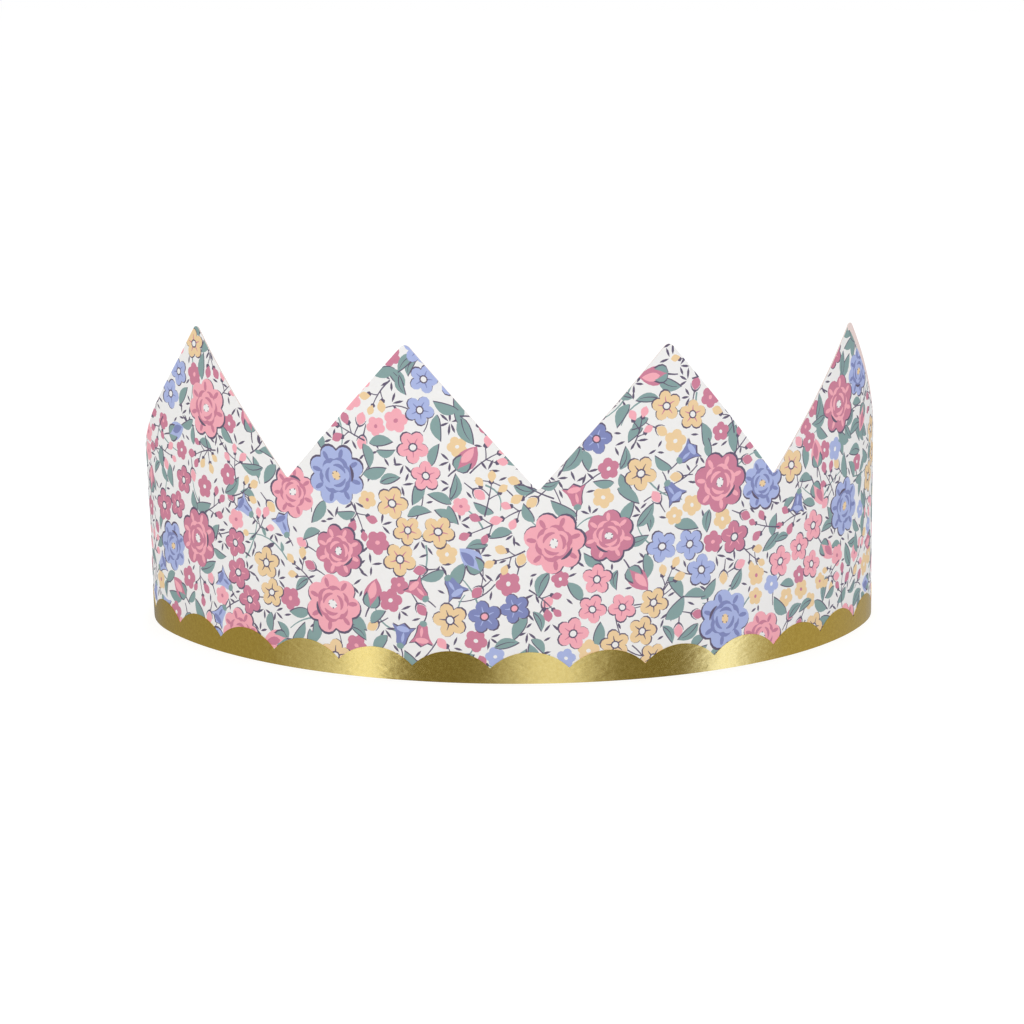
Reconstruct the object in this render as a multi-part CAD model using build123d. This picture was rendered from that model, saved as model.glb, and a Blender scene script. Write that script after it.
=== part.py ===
from build123d import *
import math
import os

# Lengths in millimetres, headings in degrees. The crown stands on its lower edge with its
# four points to the front, which is -Y, and +X to the right of someone looking at them.

# Card
card_thickness = 0.35
foil_thickness = 0.12
ink_thickness = 0.08

# Points: one pitch apart, with a valley in the middle of the front
point_pitch = 65.0
point_count = 4
point_height = 84.0        # where the two slopes of a point would meet
valley_height = 48.1       # where the slopes of two neighbouring points would meet
tip_radius = 1.5
valley_radius = 0.8

# Straps that close the ring at the back, from the square ends of the pointed panel
strap_height = 15.5
strap_root_radius = 6.0
strap_corner_radius = 3.0
overlap = 40.0
tuck = 1.5                 # by how much the inner strap bends on a smaller radius

# The oval, seen from above
front_radius = 103.0
front_heading = 64.5       # the front curve gives way to the side curve here
side_radius = 52.0
back_heading = 104.0       # the side curve gives way to the back curve here

# Scalloped foil border
scallop_pitch = 19.43
scallop_shift = -1.8       # middle of the front scallop, from the middle of the front
cusp_height = 3.9
crest_height = 8.0
crest_flat = 0.02          # trimmed off the top of each scallop
foil_setback = 0.25        # bare card below the foil

# Closing slots and tongue
slot_height = 10.0
slot_width = 1.8
slot_spacing = 9.0
slot_count = 5
tongue_height = 8.0
tongue_slope = 35.0
tongue_lift = 0.7          # how far the tongue stands off the strap that it has passed through
tongue_length = 11.0
tongue_corner_radius = 2.5
tongue_shoulder = 6.0      # from the end of the inner strap to the slot

# All-over print
print_step_along = 48.0
print_step_up = 32.0
print_wander = 4.0
print_clearance = 0.4      # bare card left between two motifs
large_flower_radius = 7.4
small_flower_radius = 4.6
petal_count = 5
petal_lean = 15.0          # of the two corners at a large petal's end
large_waist = 0.66         # depth of the notches between petals, as a share of the radius
small_waist = 0.62
leaf_length = 9.0
leaf_width = 4.4
scrap_width = 3.2          # a motif with less than this squared left at the card's edge is dropped

half_pitch = point_pitch / 2
slope = (point_height - valley_height) / half_pitch
slope_angle = math.atan(slope)
outer_tip = half_pitch * (point_count - 1)
panel_end = half_pitch * point_count
skin_base = card_thickness / 2

# How far the cutters run on past the card
headroom = 5.0
shoulder_overrun = 12.0


def rad(degrees):
    return math.radians(degrees)


# The back curve is the one arc that closes the oval behind the two side curves.
side_reach = (front_radius - side_radius) * math.sin(rad(front_heading))
back_radius = side_radius + side_reach / math.sin(rad(back_heading))
oval_depth = (
    front_radius * (1 - math.cos(rad(front_heading)))
    + side_radius * (math.cos(rad(front_heading)) - math.cos(rad(back_heading)))
    + back_radius * (1 + math.cos(rad(back_heading)))
)
front_centre = (0, front_radius - oval_depth / 2)
back_centre = (0, oval_depth / 2 - back_radius)
side_y = front_centre[1] - (front_radius - side_radius) * math.cos(rad(front_heading))
half_round = (
    front_radius * rad(front_heading)
    + side_radius * rad(back_heading - front_heading)
    + back_radius * rad(180 - back_heading)
)

# The inner strap bends on a smaller radius, so that it slips inside the outer one.
tuck_radius = back_radius - tuck
tuck_x = -side_reach - (side_radius - tuck_radius) * math.sin(rad(back_heading))
tuck_y = side_y - (side_radius - tuck_radius) * math.cos(rad(back_heading))
tuck_centre = (tuck_x, tuck_y)


def heading_at(length, radius):
    """Heading on a back curve, a length round from the front centre."""
    return back_heading + math.degrees((length - half_round) / radius) + math.degrees(
        back_radius * rad(180 - back_heading) / radius
    )


outer_strap_end = heading_at(half_round + overlap / 2, back_radius)
skin_start = -heading_at(half_round - overlap / 2 + 1, tuck_radius)
tongue_slot = half_round - overlap / 2
inner_strap_end = -heading_at(2 * half_round - tongue_slot - tongue_shoulder, tuck_radius)


def spot(along):
    """Middle of the card and its heading, a length round to the right of the front centre."""
    side = 1 if along >= 0 else -1
    rest = abs(along)
    runs = [
        (front_centre, front_radius, 0, front_heading),
        ((side_reach, side_y), side_radius, front_heading, back_heading),
        (back_centre, back_radius, back_heading, 360),
    ]
    for centre, radius, start, stop in runs:
        run = radius * rad(stop - start)
        if rest <= run:
            break
        rest -= run
    heading = start + math.degrees(rest / radius)
    x = centre[0] + radius * math.sin(rad(heading))
    y = centre[1] - radius * math.cos(rad(heading))
    return side * x, y, side * heading


def facing(along):
    """Plane on the card: x along it to the right, y up, z out of the outer face."""
    x, y, heading = spot(along)
    run = (math.cos(rad(heading)), math.sin(rad(heading)), 0)
    out = (math.sin(rad(heading)), -math.cos(rad(heading)), 0)
    return Plane(origin=(x, y, 0), x_dir=run, z_dir=out)


def seen_from(here, along, height):
    """A place on the bent card, as it shows from straight in front of another place."""
    x, y, _ = spot(along)
    local = facing(here).to_local_coords(Vector(x, y, 0))
    return local.X, height


def punch(here, sketch, outward=4, inward=22):
    """A cutter with the outline of the sketch, driven straight through the card."""
    return extrude(facing(here).offset(outward) * sketch, amount=-(outward + inward))


def strip(inner, outer, left_end, right_end, height):
    """An upright strip round the oval, between two distances out from the card's middle."""
    runs = [
        (tuck_centre, tuck_radius, left_end, -back_heading),
        ((-side_reach, side_y), side_radius, -back_heading, -front_heading),
        (front_centre, front_radius, -front_heading, front_heading),
        ((side_reach, side_y), side_radius, front_heading, back_heading),
        (back_centre, back_radius, back_heading, right_end),
    ]
    edges = []
    for reach in (inner, outer):
        for centre, radius, start, stop in runs:
            edges.append(CenterArc(centre, radius + reach, start - 90, stop - start))
    inside, outside = edges[: len(runs)], edges[len(runs) :]
    edges.append(Line(inside[0] @ 0, outside[0] @ 0))
    edges.append(Line(inside[-1] @ 1, outside[-1] @ 1))
    return extrude(make_face(edges), amount=height, dir=(0, 0, 1))


def valley_cutter(valley):
    """The V between two points."""
    above = point_height + headroom
    reach = (above - valley_height) / slope
    outline = []
    for step in range(-2, 3):
        along = valley + reach * step / 2
        height = valley_height + slope * abs(along - valley)
        outline.append(seen_from(valley, along, height))
    sketch = make_face(Polyline(outline, close=True))
    bottom = sketch.vertices().sort_by(Axis.Y)[0]
    return punch(valley, fillet(bottom, valley_radius))


def shoulder_cutter(side):
    """Above an end point's outer slope, then down the panel's square end to its strap."""
    here = side * panel_end
    top = outer_tip - headroom / slope
    beyond = panel_end + shoulder_overrun
    outline = []
    for step in range(5):
        along = top + (panel_end - top) * step / 4
        height = point_height - slope * (along - outer_tip)
        outline.append(seen_from(here, side * along, height))
    outline.append((0, strap_height))
    outline.append(seen_from(here, side * beyond, strap_height))
    outline.append(seen_from(here, side * beyond, outline[0][1]))
    sketch = make_face(Polyline(outline, close=True))
    root = sketch.vertices().sort_by_distance((0, strap_height, 0))[0]
    return punch(here, fillet(root, strap_root_radius))


def tip_cutter(tip):
    """Rounds the sharp end of a point."""
    middle = point_height - tip_radius / math.cos(slope_angle)
    touch = middle + tip_radius * math.cos(slope_angle)
    width = 2 * tip_radius * math.sin(slope_angle)
    above = Pos(0, touch) * Rectangle(width, headroom, align=(Align.CENTER, Align.MIN))
    return punch(tip, above - Pos(0, middle) * Circle(tip_radius))


def strap_end_cutter():
    """Rounds the two corners at the end of the outer strap."""
    here = half_round + overlap / 2 - strap_corner_radius
    size = strap_corner_radius
    sketch = Pos(0, -1) * Rectangle(size + 1, strap_height + 2, align=Align.MIN)
    sketch -= Pos(0, size) * Rectangle(size + 1, strap_height - 2 * size, align=Align.MIN)
    for height in (size, strap_height - size):
        sketch -= Pos(0, height) * Circle(size)
    return punch(here, sketch, inward=card_thickness)


def slot_cutter(number):
    here = tongue_slot + slot_spacing * (number - 1)
    sketch = Pos(0, strap_height / 2) * SlotOverall(slot_height, slot_width, rotation=90)
    return punch(here, sketch, inward=card_thickness)


def back_cutter():
    """Everything above the straps behind the two ends of the panel."""
    ahead = spot(panel_end + 0.8 * shoulder_overrun)[1]
    reach = 2 * oval_depth
    block = Box(2 * reach, reach, point_height, align=(Align.CENTER, Align.MIN, Align.MIN))
    return Pos(0, ahead, strap_height) * block


# Everything that is cut from the flat strip: the skyline, then the strap end and the slots
skyline_cutters = [back_cutter()]
for number in range(point_count - 1):
    skyline_cutters.append(valley_cutter(point_pitch * (number - (point_count - 2) / 2)))
for number in range(point_count):
    skyline_cutters.append(tip_cutter(point_pitch * (number - (point_count - 1) / 2)))
for side in (-1, 1):
    skyline_cutters.append(shoulder_cutter(side))
strap_cutters = [strap_end_cutter()]
for number in range(slot_count):
    strap_cutters.append(slot_cutter(number))


def tongue():
    """Narrow end of the inner strap, which steps out through a slot and lies on the outside."""
    past_back = -180 - inner_strap_end
    foot_sink = tuck * (1 - math.cos(rad(180 - back_heading + past_back)))
    slot_turn = (half_round - tongue_slot) / back_radius
    climb = math.tan(rad(tongue_slope))
    through = foil_thickness / 2
    foot_turn = slot_turn - (foot_sink + through) / climb / back_radius
    head_turn = slot_turn + (tongue_lift - through) / climb / back_radius
    lifted = back_radius + tongue_lift

    def place(radius, turn):
        return radius * math.sin(turn), back_centre[1] + radius * math.cos(turn)

    start = (
        tuck_centre[0] + tuck_radius * math.sin(rad(inner_strap_end)),
        tuck_centre[1] - tuck_radius * math.cos(rad(inner_strap_end)),
    )
    foot = place(back_radius - foot_sink, foot_turn)
    head = place(lifted, head_turn)
    path = Line(start, foot) + Line(foot, head)
    path += CenterArc(
        back_centre, lifted, 90 - math.degrees(head_turn), -math.degrees(tongue_length / lifted)
    )
    body = extrude(trace(path, line_width=card_thickness), amount=tongue_height, dir=(0, 0, 1))
    body = Pos(0, 0, (strap_height - tongue_height) / 2) * body
    corners = body.edges().filter_by(lambda edge: edge.length < card_thickness * 1.05)
    return fillet(corners.sort_by(Axis.X)[-2:], tongue_corner_radius)


blank_height = point_height - tip_radius / 4
card_band = strip(-skin_base, skin_base, inner_strap_end, outer_strap_end, blank_height)
card_band = card_band - skyline_cutters - strap_cutters
card_band = card_band + tongue()


def cusp_cutter(number):
    """The curved gap above the cusp between two scallops."""
    here = scallop_shift + scallop_pitch * (number + 0.5)
    half = scallop_pitch / 2
    rise = crest_height - cusp_height
    radius = (half**2 + rise**2) / (2 * rise)
    sketch = Pos(0, cusp_height) * Rectangle(scallop_pitch, rise + 2, align=(Align.CENTER, Align.MIN))
    for side in (-1, 1):
        sketch -= Pos(side * half, crest_height - radius) * Circle(radius)
    return punch(here, sketch, outward=2, inward=4)


scallops_each_way = int((half_round + overlap / 2) / scallop_pitch) + 1
foil_height = crest_height - crest_flat - foil_setback
foil_face = skin_base + foil_thickness
foil_border = strip(skin_base, foil_face, skin_start, outer_strap_end, foil_height)
foil_border = Pos(0, 0, foil_setback) * foil_border
cusp_cutters = [cusp_cutter(number) for number in range(-scallops_each_way, scallops_each_way)]
foil_border = foil_border - cusp_cutters - strap_cutters


def chance(column, row, salt):
    """A fixed number from 0 to 1 for each place in the print."""
    return (math.sin(12.9898 * column + 78.233 * row + 37.719 * salt) * 43758.5453) % 1


def flower(radius, leans, waist):
    """A flat blossom, each petal a run of corners at the given leans from its middle."""
    outline = []
    petal = 360 / petal_count
    for number in range(petal_count):
        outline.append((waist * radius, petal * (number - 0.5)))
        for lean in leans:
            outline.append((radius, petal * number + lean))
    points = [(reach * math.cos(rad(turn)), reach * math.sin(rad(turn))) for reach, turn in outline]
    return make_face(Polyline(points, close=True))


def leaf():
    """A pointed leaf, about its own middle, along x."""
    half = leaf_length / 2
    fullest = -0.1 * half
    sides = [(-half, 0), (fullest, leaf_width / 2), (half, 0), (fullest, -leaf_width / 2)]
    return make_face(Polyline(sides, close=True))


def print_layout():
    """Colour, outline, length round, height and turn of each motif, in a half-drop repeat."""
    motifs = []
    taken = []
    columns = int(half_round / print_step_along) + 1
    rows = int(point_height / print_step_up) + 2
    petal = 360 / petal_count
    large = flower(large_flower_radius, (-petal_lean, petal_lean), large_waist)
    small = flower(small_flower_radius, (0,), small_waist)

    def lay(colour, outline, room, along, height, turn):
        for other_room, other_along, other_height in taken:
            apart = math.hypot(along - other_along, height - other_height)
            if apart < room + other_room + print_clearance:
                return
        taken.append((room, along, height))
        motifs.append((colour, outline, along, height, turn))

    repeat = [(column, row) for column in range(-columns, columns + 1) for row in range(rows)]
    places = {}
    for column, row in repeat:
        along = print_step_along * column + print_wander * (2 * chance(column, row, 1) - 1)
        height = print_step_up * (row + 0.5 * (column % 2))
        height += print_wander * (2 * chance(column, row, 2) - 1)
        places[column, row] = (along, height)
        colour = ("rose", "blue", "pink")[(column + 2 * row) % 3]
        turn = petal * chance(column, row, 3)
        lay(colour, large, large_flower_radius, along, height, turn)
    for column, row in repeat:
        along, height = places[column, row]
        colour = ("ochre", "pink", "blue", "ochre", "rose")[(3 * column + row) % 5]
        turn = petal * chance(column, row, 4)
        beside = along + print_step_along * (0.42 + 0.16 * chance(column, row, 5))
        lay(colour, small, small_flower_radius, beside, height, turn)
    for column, row in repeat:
        along, height = places[column, row]
        lean = 360 * chance(column, row, 6)
        reach = large_flower_radius + leaf_length / 2 + 2 * print_clearance
        leaf_along = along + reach * math.cos(rad(lean))
        leaf_height = height + reach * math.sin(rad(lean))
        lay("green", leaf(), leaf_length / 2, leaf_along, leaf_height, lean)
    return motifs


ink_face = skin_base + ink_thickness
ink_sheet = strip(skin_base, ink_face, skin_start, outer_strap_end, blank_height)
ink_sheet = ink_sheet & Pos(0, 0, cusp_height) * Box(
    2 * oval_depth, 2 * oval_depth, blank_height, align=(Align.CENTER, Align.CENTER, Align.MIN)
)
ink_sheet = ink_sheet - skyline_cutters - strap_cutters - foil_border
scrap = ink_thickness * scrap_width**2
inks = {"rose": [], "pink": [], "blue": [], "ochre": [], "green": []}
for colour, outline, along, height, turn in print_layout():
    if abs(along) < tongue_slot:
        shape = Pos(0, height) * Rot(0, 0, turn) * outline
        field = ink_sheet & punch(along, shape, outward=3, inward=6)
        if field is not None:
            inks[colour] += [solid for solid in field.solids() if solid.volume > scrap]

os.makedirs("parts", exist_ok=True)
export_step(card_band, "parts/card_band.step")
export_step(foil_border, "parts/foil_border.step")
for colour, fields in inks.items():
    export_step(Compound(fields), f"parts/print_{colour}.step")
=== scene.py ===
import math
import random

import bpy
import numpy as np
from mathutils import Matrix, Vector
from mathutils.geometry import delaunay_2d_cdt


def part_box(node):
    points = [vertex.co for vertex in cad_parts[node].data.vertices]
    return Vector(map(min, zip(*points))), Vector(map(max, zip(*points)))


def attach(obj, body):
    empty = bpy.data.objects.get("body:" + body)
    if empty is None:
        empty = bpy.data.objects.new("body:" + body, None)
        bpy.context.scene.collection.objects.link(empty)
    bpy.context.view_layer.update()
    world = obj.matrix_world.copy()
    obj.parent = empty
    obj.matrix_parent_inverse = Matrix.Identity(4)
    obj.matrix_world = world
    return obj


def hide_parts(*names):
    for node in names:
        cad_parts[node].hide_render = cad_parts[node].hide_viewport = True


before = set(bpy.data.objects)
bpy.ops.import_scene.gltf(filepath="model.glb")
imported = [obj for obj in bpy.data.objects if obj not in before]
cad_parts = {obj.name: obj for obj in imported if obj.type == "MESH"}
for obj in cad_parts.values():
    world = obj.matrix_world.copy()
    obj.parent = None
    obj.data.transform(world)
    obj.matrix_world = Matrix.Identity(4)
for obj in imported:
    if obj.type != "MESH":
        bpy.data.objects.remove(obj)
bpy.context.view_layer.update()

# Lengths are millimetres on the flat card until a sheet is rolled up, and headings are degrees.
MM = 0.001

# The flat strip. Along it, 0 is the middle of the front and + is to the right.
CARD_THICKNESS = 0.35
FOIL_THICKNESS = 0.12
POINT_PITCH = 65.0
POINT_COUNT = 4
POINT_HEIGHT = 84.0
VALLEY_HEIGHT = 48.1
TIP_RADIUS = 1.5
VALLEY_RADIUS = 0.8
STRAP_HEIGHT = 15.5
STRAP_ROOT_RADIUS = 6.0
STRAP_CORNER_RADIUS = 3.0
OVERLAP = 40.0
TUCK = 1.5

# The oval that the strip is bent to, seen from above
FRONT_RADIUS = 103.0
FRONT_HEADING = 64.5
SIDE_RADIUS = 52.0
BACK_HEADING = 104.0

# The pointed panel's ends lean out of upright a little, by these shares of the height
LEAN_LEFT = 0.036      # outwards
LEAN_RIGHT = -0.016    # inwards
LEAN_REACH = 27.0      # along the card from an end to where the lean has died away

# Scalloped foil
SCALLOP_PITCH = 19.43
SCALLOP_SHIFT = -1.8   # from the middle of the front to a crest
CUSP_HEIGHT = 3.9
CREST_HEIGHT = 8.0
FOIL_SETBACK = 0.03    # of the foil's lower edge from the card's

# Slots and tongue
SLOT_HEIGHT = 10.0
SLOT_WIDTH = 1.8
SLOT_END_RADIUS = SLOT_WIDTH / 2 * 0.999      # just short of a half circle
SLOT_SPACING = 9.0
SLOT_COUNT = 5
TONGUE_HEIGHT = 8.0
TONGUE_SLOPE = 35.0
TONGUE_LIFT = 0.7
TONGUE_LENGTH = 11.0
TONGUE_SHOULDER = 6.0
TONGUE_CORNER_RADIUS = 2.5

# Large flowers stand in a half-drop repeat, and most have a smaller companion
PRINT_STEP_ALONG = 48.0
PRINT_STEP_UP = 32.0
PRINT_WANDER = 4.0
ROSETTE_RADIUS = 7.6
COMPANION_SHARE = 0.6
COMPANION_SIZE = 0.86  # of a large flower
COMPANION_APART = 1.8  # radii of a large flower

# How finely the sheets are made
ROUTE_STEP = 1.0       # between the points of the card's middle line
FOLD_STEP = 3.0        # between the upright lines on which a sheet bends
BEND_STEP = 0.5        # the same on the tongue
ARC_STEP = 0.35        # along a rounded corner
SCALLOP_STEPS = 16     # in one scallop
INSIDE_ONLY = 1        # the mode in which the partition keeps what lies inside an outline
MERGE_DISTANCE = 1e-5  # within which two points of a sheet are one
SHARP_ANGLE = 40       # degrees between two faces, past which their edge stays sharp

# Studio, in metres and watts
WORLD_STRENGTH = 0.82
LAMP_POWER = 9.0
LAMP_SIDE = 0.9
LAMP_TARGET = (0, 0, 0.04)
LAMPS = {"key_light": (-0.3, -1.5, 1.3), "back_light": (0.3, 1.5, 1.3)}
FLOOR_REACH = 12.0
FLOOR_WHITE = (0.93, 0.93, 0.93, 1.0)
FLOOR_GLOW = 1.11          # brings the floor to white where no shadow lies on it
FLOOR_GLOW_SHARE = 0.7     # the rest of the floor's light shows the shadow
WHITE = (1.0, 1.0, 1.0, 1.0)

# The ring of glowing cards round the crown, which only its foil sees
RING_RADIUS = 0.6
RING_BOTTOM = -0.7
RING_TOP = 0.5
RING_STEP = 2              # degrees to a card
RING_GREY = 0.2
PLAIN = (1.0, 1.0, 1.0)
COOL = (1.0, 1.22, 2.85)
PALE = (1.0, 1.4, 4.9)
# Lights on the ring: the headings at which each begins, is full, begins to fade and ends, then
# its strength and its tint
RING_LIGHTS = (
    (-230, -120, -80, -58, 0.12, PLAIN),
    (-76, -53, -39, -35, 0.42, COOL),
    (-53, -47, -40, -37, 0.53, COOL),
    (-10.5, 4, 12.5, 25.5, 0.68, COOL),
    (49, 55, 63, 80, 0.46, COOL),
    (52, 57, 62, 69, 0.57, PALE),
    (66, 84, 180, 280, 0.20, PLAIN),
    (166, 176, 180, 181, 0.5, COOL),
    (-181, -180, -176, -166, 0.5, COOL),
)

# Camera
SENSOR_WIDTH = 36.0
LENS = 94.1
CAMERA_LEFT = 50.1         # of the middle of the crown
CAMERA_BEFORE = 634.6      # the card's front
CAMERA_HEIGHT = 171.1
CAMERA_DOWN = 11.38        # degrees, as the two below
CAMERA_ROLL = -0.2
CAMERA_TURN = -3.905

# Print and card colours, as they look in daylight
INKS = {
    "ground": (236, 235, 232),
    "rose": (203, 126, 148),
    "pink": (242, 170, 180),
    "blue": (168, 180, 221),
    "deep_blue": (127, 135, 182),
    "ochre": (235, 204, 156),
    "sage": (132, 160, 156),
    "plum": (98, 88, 108),
    "liner": (232, 212, 206),
    "cut": (226, 212, 206),
    "inside": (233, 230, 225),
}

# The tone that the card takes in patches, and the foil's two tones
CARD_WEAR = (0.86, 0.86, 0.88, 1.0)
GOLD_DEEP = (0.82, 0.55, 0.09, 1.0)
GOLD_BRIGHT = (1.0, 0.71, 0.14, 1.0)


def linear(rgb):
    """A colour from 0 to 255 as a screen shows it, in the linear numbers that Blender takes."""
    shares = [value / 255 for value in rgb]
    return tuple(s / 12.92 if s <= 0.04045 else ((s + 0.055) / 1.055) ** 2.4 for s in shares)


# Plan of the oval

rad = math.radians
slope = (POINT_HEIGHT - VALLEY_HEIGHT) / (POINT_PITCH / 2)
outer_tip = POINT_PITCH * (POINT_COUNT - 1) / 2
panel_end = POINT_PITCH * POINT_COUNT / 2
side_reach = (FRONT_RADIUS - SIDE_RADIUS) * math.sin(rad(FRONT_HEADING))
back_radius = SIDE_RADIUS + side_reach / math.sin(rad(BACK_HEADING))
tuck_radius = back_radius - TUCK
front_run = FRONT_RADIUS * rad(FRONT_HEADING)
side_run = SIDE_RADIUS * rad(BACK_HEADING - FRONT_HEADING)
half_round = front_run + side_run + back_radius * rad(180 - BACK_HEADING)
card_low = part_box("card_band")[0]
front_y = card_low[1] / MM + CARD_THICKNESS / 2
tongue_slot = half_round - OVERLAP / 2
outer_end = half_round + OVERLAP / 2
inner_end = -(2 * half_round - tongue_slot - TONGUE_SHOULDER)


def arc_walk(runs):
    """Place and heading after a chain of tangent arcs, each a radius and an angle in radians."""
    x, y, heading = 0.0, front_y, 0.0
    for radius, turn in runs:
        x += radius * (math.sin(heading + turn) - math.sin(heading))
        y += radius * (math.cos(heading) - math.cos(heading + turn))
        heading += turn
    return x, y, heading


def on_card(length, last_radius):
    """Place on the right half of the card's middle, whose back curve has the given radius."""
    front = min(length, front_run)
    side = min(max(length - front_run, 0), side_run)
    back = max(length - front_run - side_run, 0)
    turns = [(FRONT_RADIUS, front / FRONT_RADIUS), (SIDE_RADIUS, side / SIDE_RADIUS)]
    return arc_walk(turns + [(last_radius, back / last_radius)])


def tongue_route():
    """From the inner strap's end out through a slot and on along the outer strap."""
    back_y = on_card(half_round, back_radius)[1] - back_radius
    slot_turn = (half_round - tongue_slot) / back_radius
    _, _, heading = on_card(-inner_end, tuck_radius)
    sink = TUCK * (1 - math.cos(heading - rad(BACK_HEADING)))
    climb = math.tan(rad(TONGUE_SLOPE))
    through = FOIL_THICKNESS / 2
    foot_turn = slot_turn - (sink + through) / climb / back_radius
    head_turn = slot_turn + (TONGUE_LIFT - through) / climb / back_radius
    lifted = back_radius + TONGUE_LIFT
    stops = [(back_radius - sink, foot_turn), (lifted, head_turn)]
    steps = int(TONGUE_LENGTH / BEND_STEP)
    for step in range(1, steps + 1):
        stops.append((lifted, head_turn + TONGUE_LENGTH / lifted * step / steps))
    return [(r * math.sin(turn), back_y + r * math.cos(turn)) for r, turn in stops]


def card_route():
    """The card's middle from the tongue's tip, round by the front, to the outer strap's end."""
    lengths = np.arange(ROUTE_STEP, outer_end, ROUTE_STEP)
    right = [on_card(length, back_radius)[:2] for length in lengths]
    right.append(on_card(outer_end, back_radius)[:2])
    lengths = np.arange(0.0, -inner_end, ROUTE_STEP)
    left = [on_card(length, tuck_radius)[:2] for length in lengths]
    left.append(on_card(-inner_end, tuck_radius)[:2])
    left = [(-x, y) for x, y in left]
    return tongue_route()[::-1] + left[::-1] + right


route = card_route()
steps_along = [math.dist(a, b) for a, b in zip(route, route[1:])]
route_start = outer_end - sum(steps_along)
tongue_points = len(tongue_route())
bends = list(route_start + np.cumsum([0.0] + steps_along[: tongue_points - 1]))
folds = [route_start + at for at in np.arange(FOLD_STEP, outer_end - route_start, FOLD_STEP)]
folds = [at for at in folds if at > inner_end] + bends[1:]


# Outlines on the flat card

def rounded(corners):
    """A closed outline from corners (along, up, radius), with each corner's arc stepped out."""
    outline = []
    for number, (x, z, radius) in enumerate(corners):
        if radius == 0:
            outline.append((x, z))
            continue
        here = Vector((x, z))
        before = (Vector(corners[number - 1][:2]) - here).normalized()
        after = (Vector(corners[(number + 1) % len(corners)][:2]) - here).normalized()
        half = before.angle(after) / 2
        middle = here + (before + after).normalized() * radius / math.sin(half)
        first = here + before * radius / math.tan(half) - middle
        last = here + after * radius / math.tan(half) - middle
        sweep = first.angle_signed(last)
        count = max(4, int(abs(sweep) * radius / ARC_STEP))
        start = math.atan2(first.y, first.x)
        for step in range(count + 1):
            angle = start - sweep * step / count
            along = middle.x + radius * math.cos(angle)
            outline.append((along, middle.y + radius * math.sin(angle)))
    return outline


def card_outline():
    """Tongue, straps and points of the flat card."""
    low = (STRAP_HEIGHT - TONGUE_HEIGHT) / 2
    high = (STRAP_HEIGHT + TONGUE_HEIGHT) / 2
    corners = [(inner_end, low, 0), (inner_end, 0, 0)]
    corners += [(outer_end, 0, STRAP_CORNER_RADIUS), (outer_end, STRAP_HEIGHT, STRAP_CORNER_RADIUS)]
    corners += [(panel_end, STRAP_HEIGHT, STRAP_ROOT_RADIUS), (panel_end, VALLEY_HEIGHT, 0)]
    for number in range(POINT_COUNT):
        tip = outer_tip - number * POINT_PITCH
        corners.append((tip, POINT_HEIGHT, TIP_RADIUS))
        if number < POINT_COUNT - 1:
            corners.append((tip - POINT_PITCH / 2, VALLEY_HEIGHT, VALLEY_RADIUS))
    corners += [(-panel_end, VALLEY_HEIGHT, 0), (-panel_end, STRAP_HEIGHT, STRAP_ROOT_RADIUS)]
    corners += [(inner_end, STRAP_HEIGHT, 0)]
    corners += [(inner_end, high, 0), (route_start, high, TONGUE_CORNER_RADIUS)]
    corners += [(route_start, low, TONGUE_CORNER_RADIUS)]
    return rounded(corners)


def slot_outlines():
    """The row of closing slots in the outer strap."""
    low, high = (STRAP_HEIGHT - SLOT_HEIGHT) / 2, (STRAP_HEIGHT + SLOT_HEIGHT) / 2
    slots = []
    for number in range(SLOT_COUNT):
        x = tongue_slot + SLOT_SPACING * (number - 1)
        left, right = x - SLOT_WIDTH / 2, x + SLOT_WIDTH / 2
        corners = ((left, low), (right, low), (right, high), (left, high))
        slots.append(rounded([(*corner, SLOT_END_RADIUS) for corner in corners]))
    return slots


def scallop_height(along):
    """Top edge of the foil: equal round arcs that meet in cusps."""
    half = SCALLOP_PITCH / 2
    rise = CREST_HEIGHT - CUSP_HEIGHT
    radius = (half**2 + rise**2) / (2 * rise)
    off = (along - SCALLOP_SHIFT + half) % SCALLOP_PITCH - half
    return CREST_HEIGHT - radius + math.sqrt(radius**2 - off**2)


def foil_outline():
    """The flat foil, with a point of its outline on every crest and cusp."""
    steps = SCALLOP_STEPS
    first = math.ceil((inner_end - SCALLOP_SHIFT) / SCALLOP_PITCH * steps - 0.5 * steps)
    last = math.floor((outer_end - SCALLOP_SHIFT) / SCALLOP_PITCH * steps - 0.5 * steps)
    stations = [SCALLOP_SHIFT + SCALLOP_PITCH * (n / steps + 0.5) for n in range(first, last + 1)]
    stations = [inner_end] + stations + [outer_end]
    top = [(x, scallop_height(x), 0) for x in reversed(stations)]
    corner_radius = STRAP_CORNER_RADIUS - FOIL_SETBACK
    base = [(inner_end, FOIL_SETBACK, 0), (outer_end, FOIL_SETBACK, corner_radius)]
    return rounded(base + top)


# Motifs of the print, in millimetres about their own middle. Each gives its (ink, outline) shapes
# in the order of printing, and the round spots that it keeps for itself, by middle and radius.

def moved(points, x=0.0, z=0.0, turn=0.0, size=1.0):
    """Points that are sized and turned about the middle, and then shifted."""
    c, s = math.cos(turn) * size, math.sin(turn) * size
    return [(x + c * px - s * pz, z + s * px + c * pz) for px, pz in points]


def lobed(radius, lobes, depth, steps=6, turn=0.0):
    """A round shape with equal rounded lobes and sharp notches between them."""
    points = []
    for number in range(lobes * steps):
        share = number / steps
        swell = 1 - depth * (1 - abs(math.sin(math.pi * share)) ** 0.8)
        angle = turn + 2 * math.pi * share / lobes
        points.append((radius * swell * math.cos(angle), radius * swell * math.sin(angle)))
    return points


def oval(length, width, steps=10):
    """A round or long shape with straight facets."""
    angles = [2 * math.pi * n / steps for n in range(steps)]
    return [(length / 2 * math.cos(a), width / 2 * math.sin(a)) for a in angles]


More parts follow.
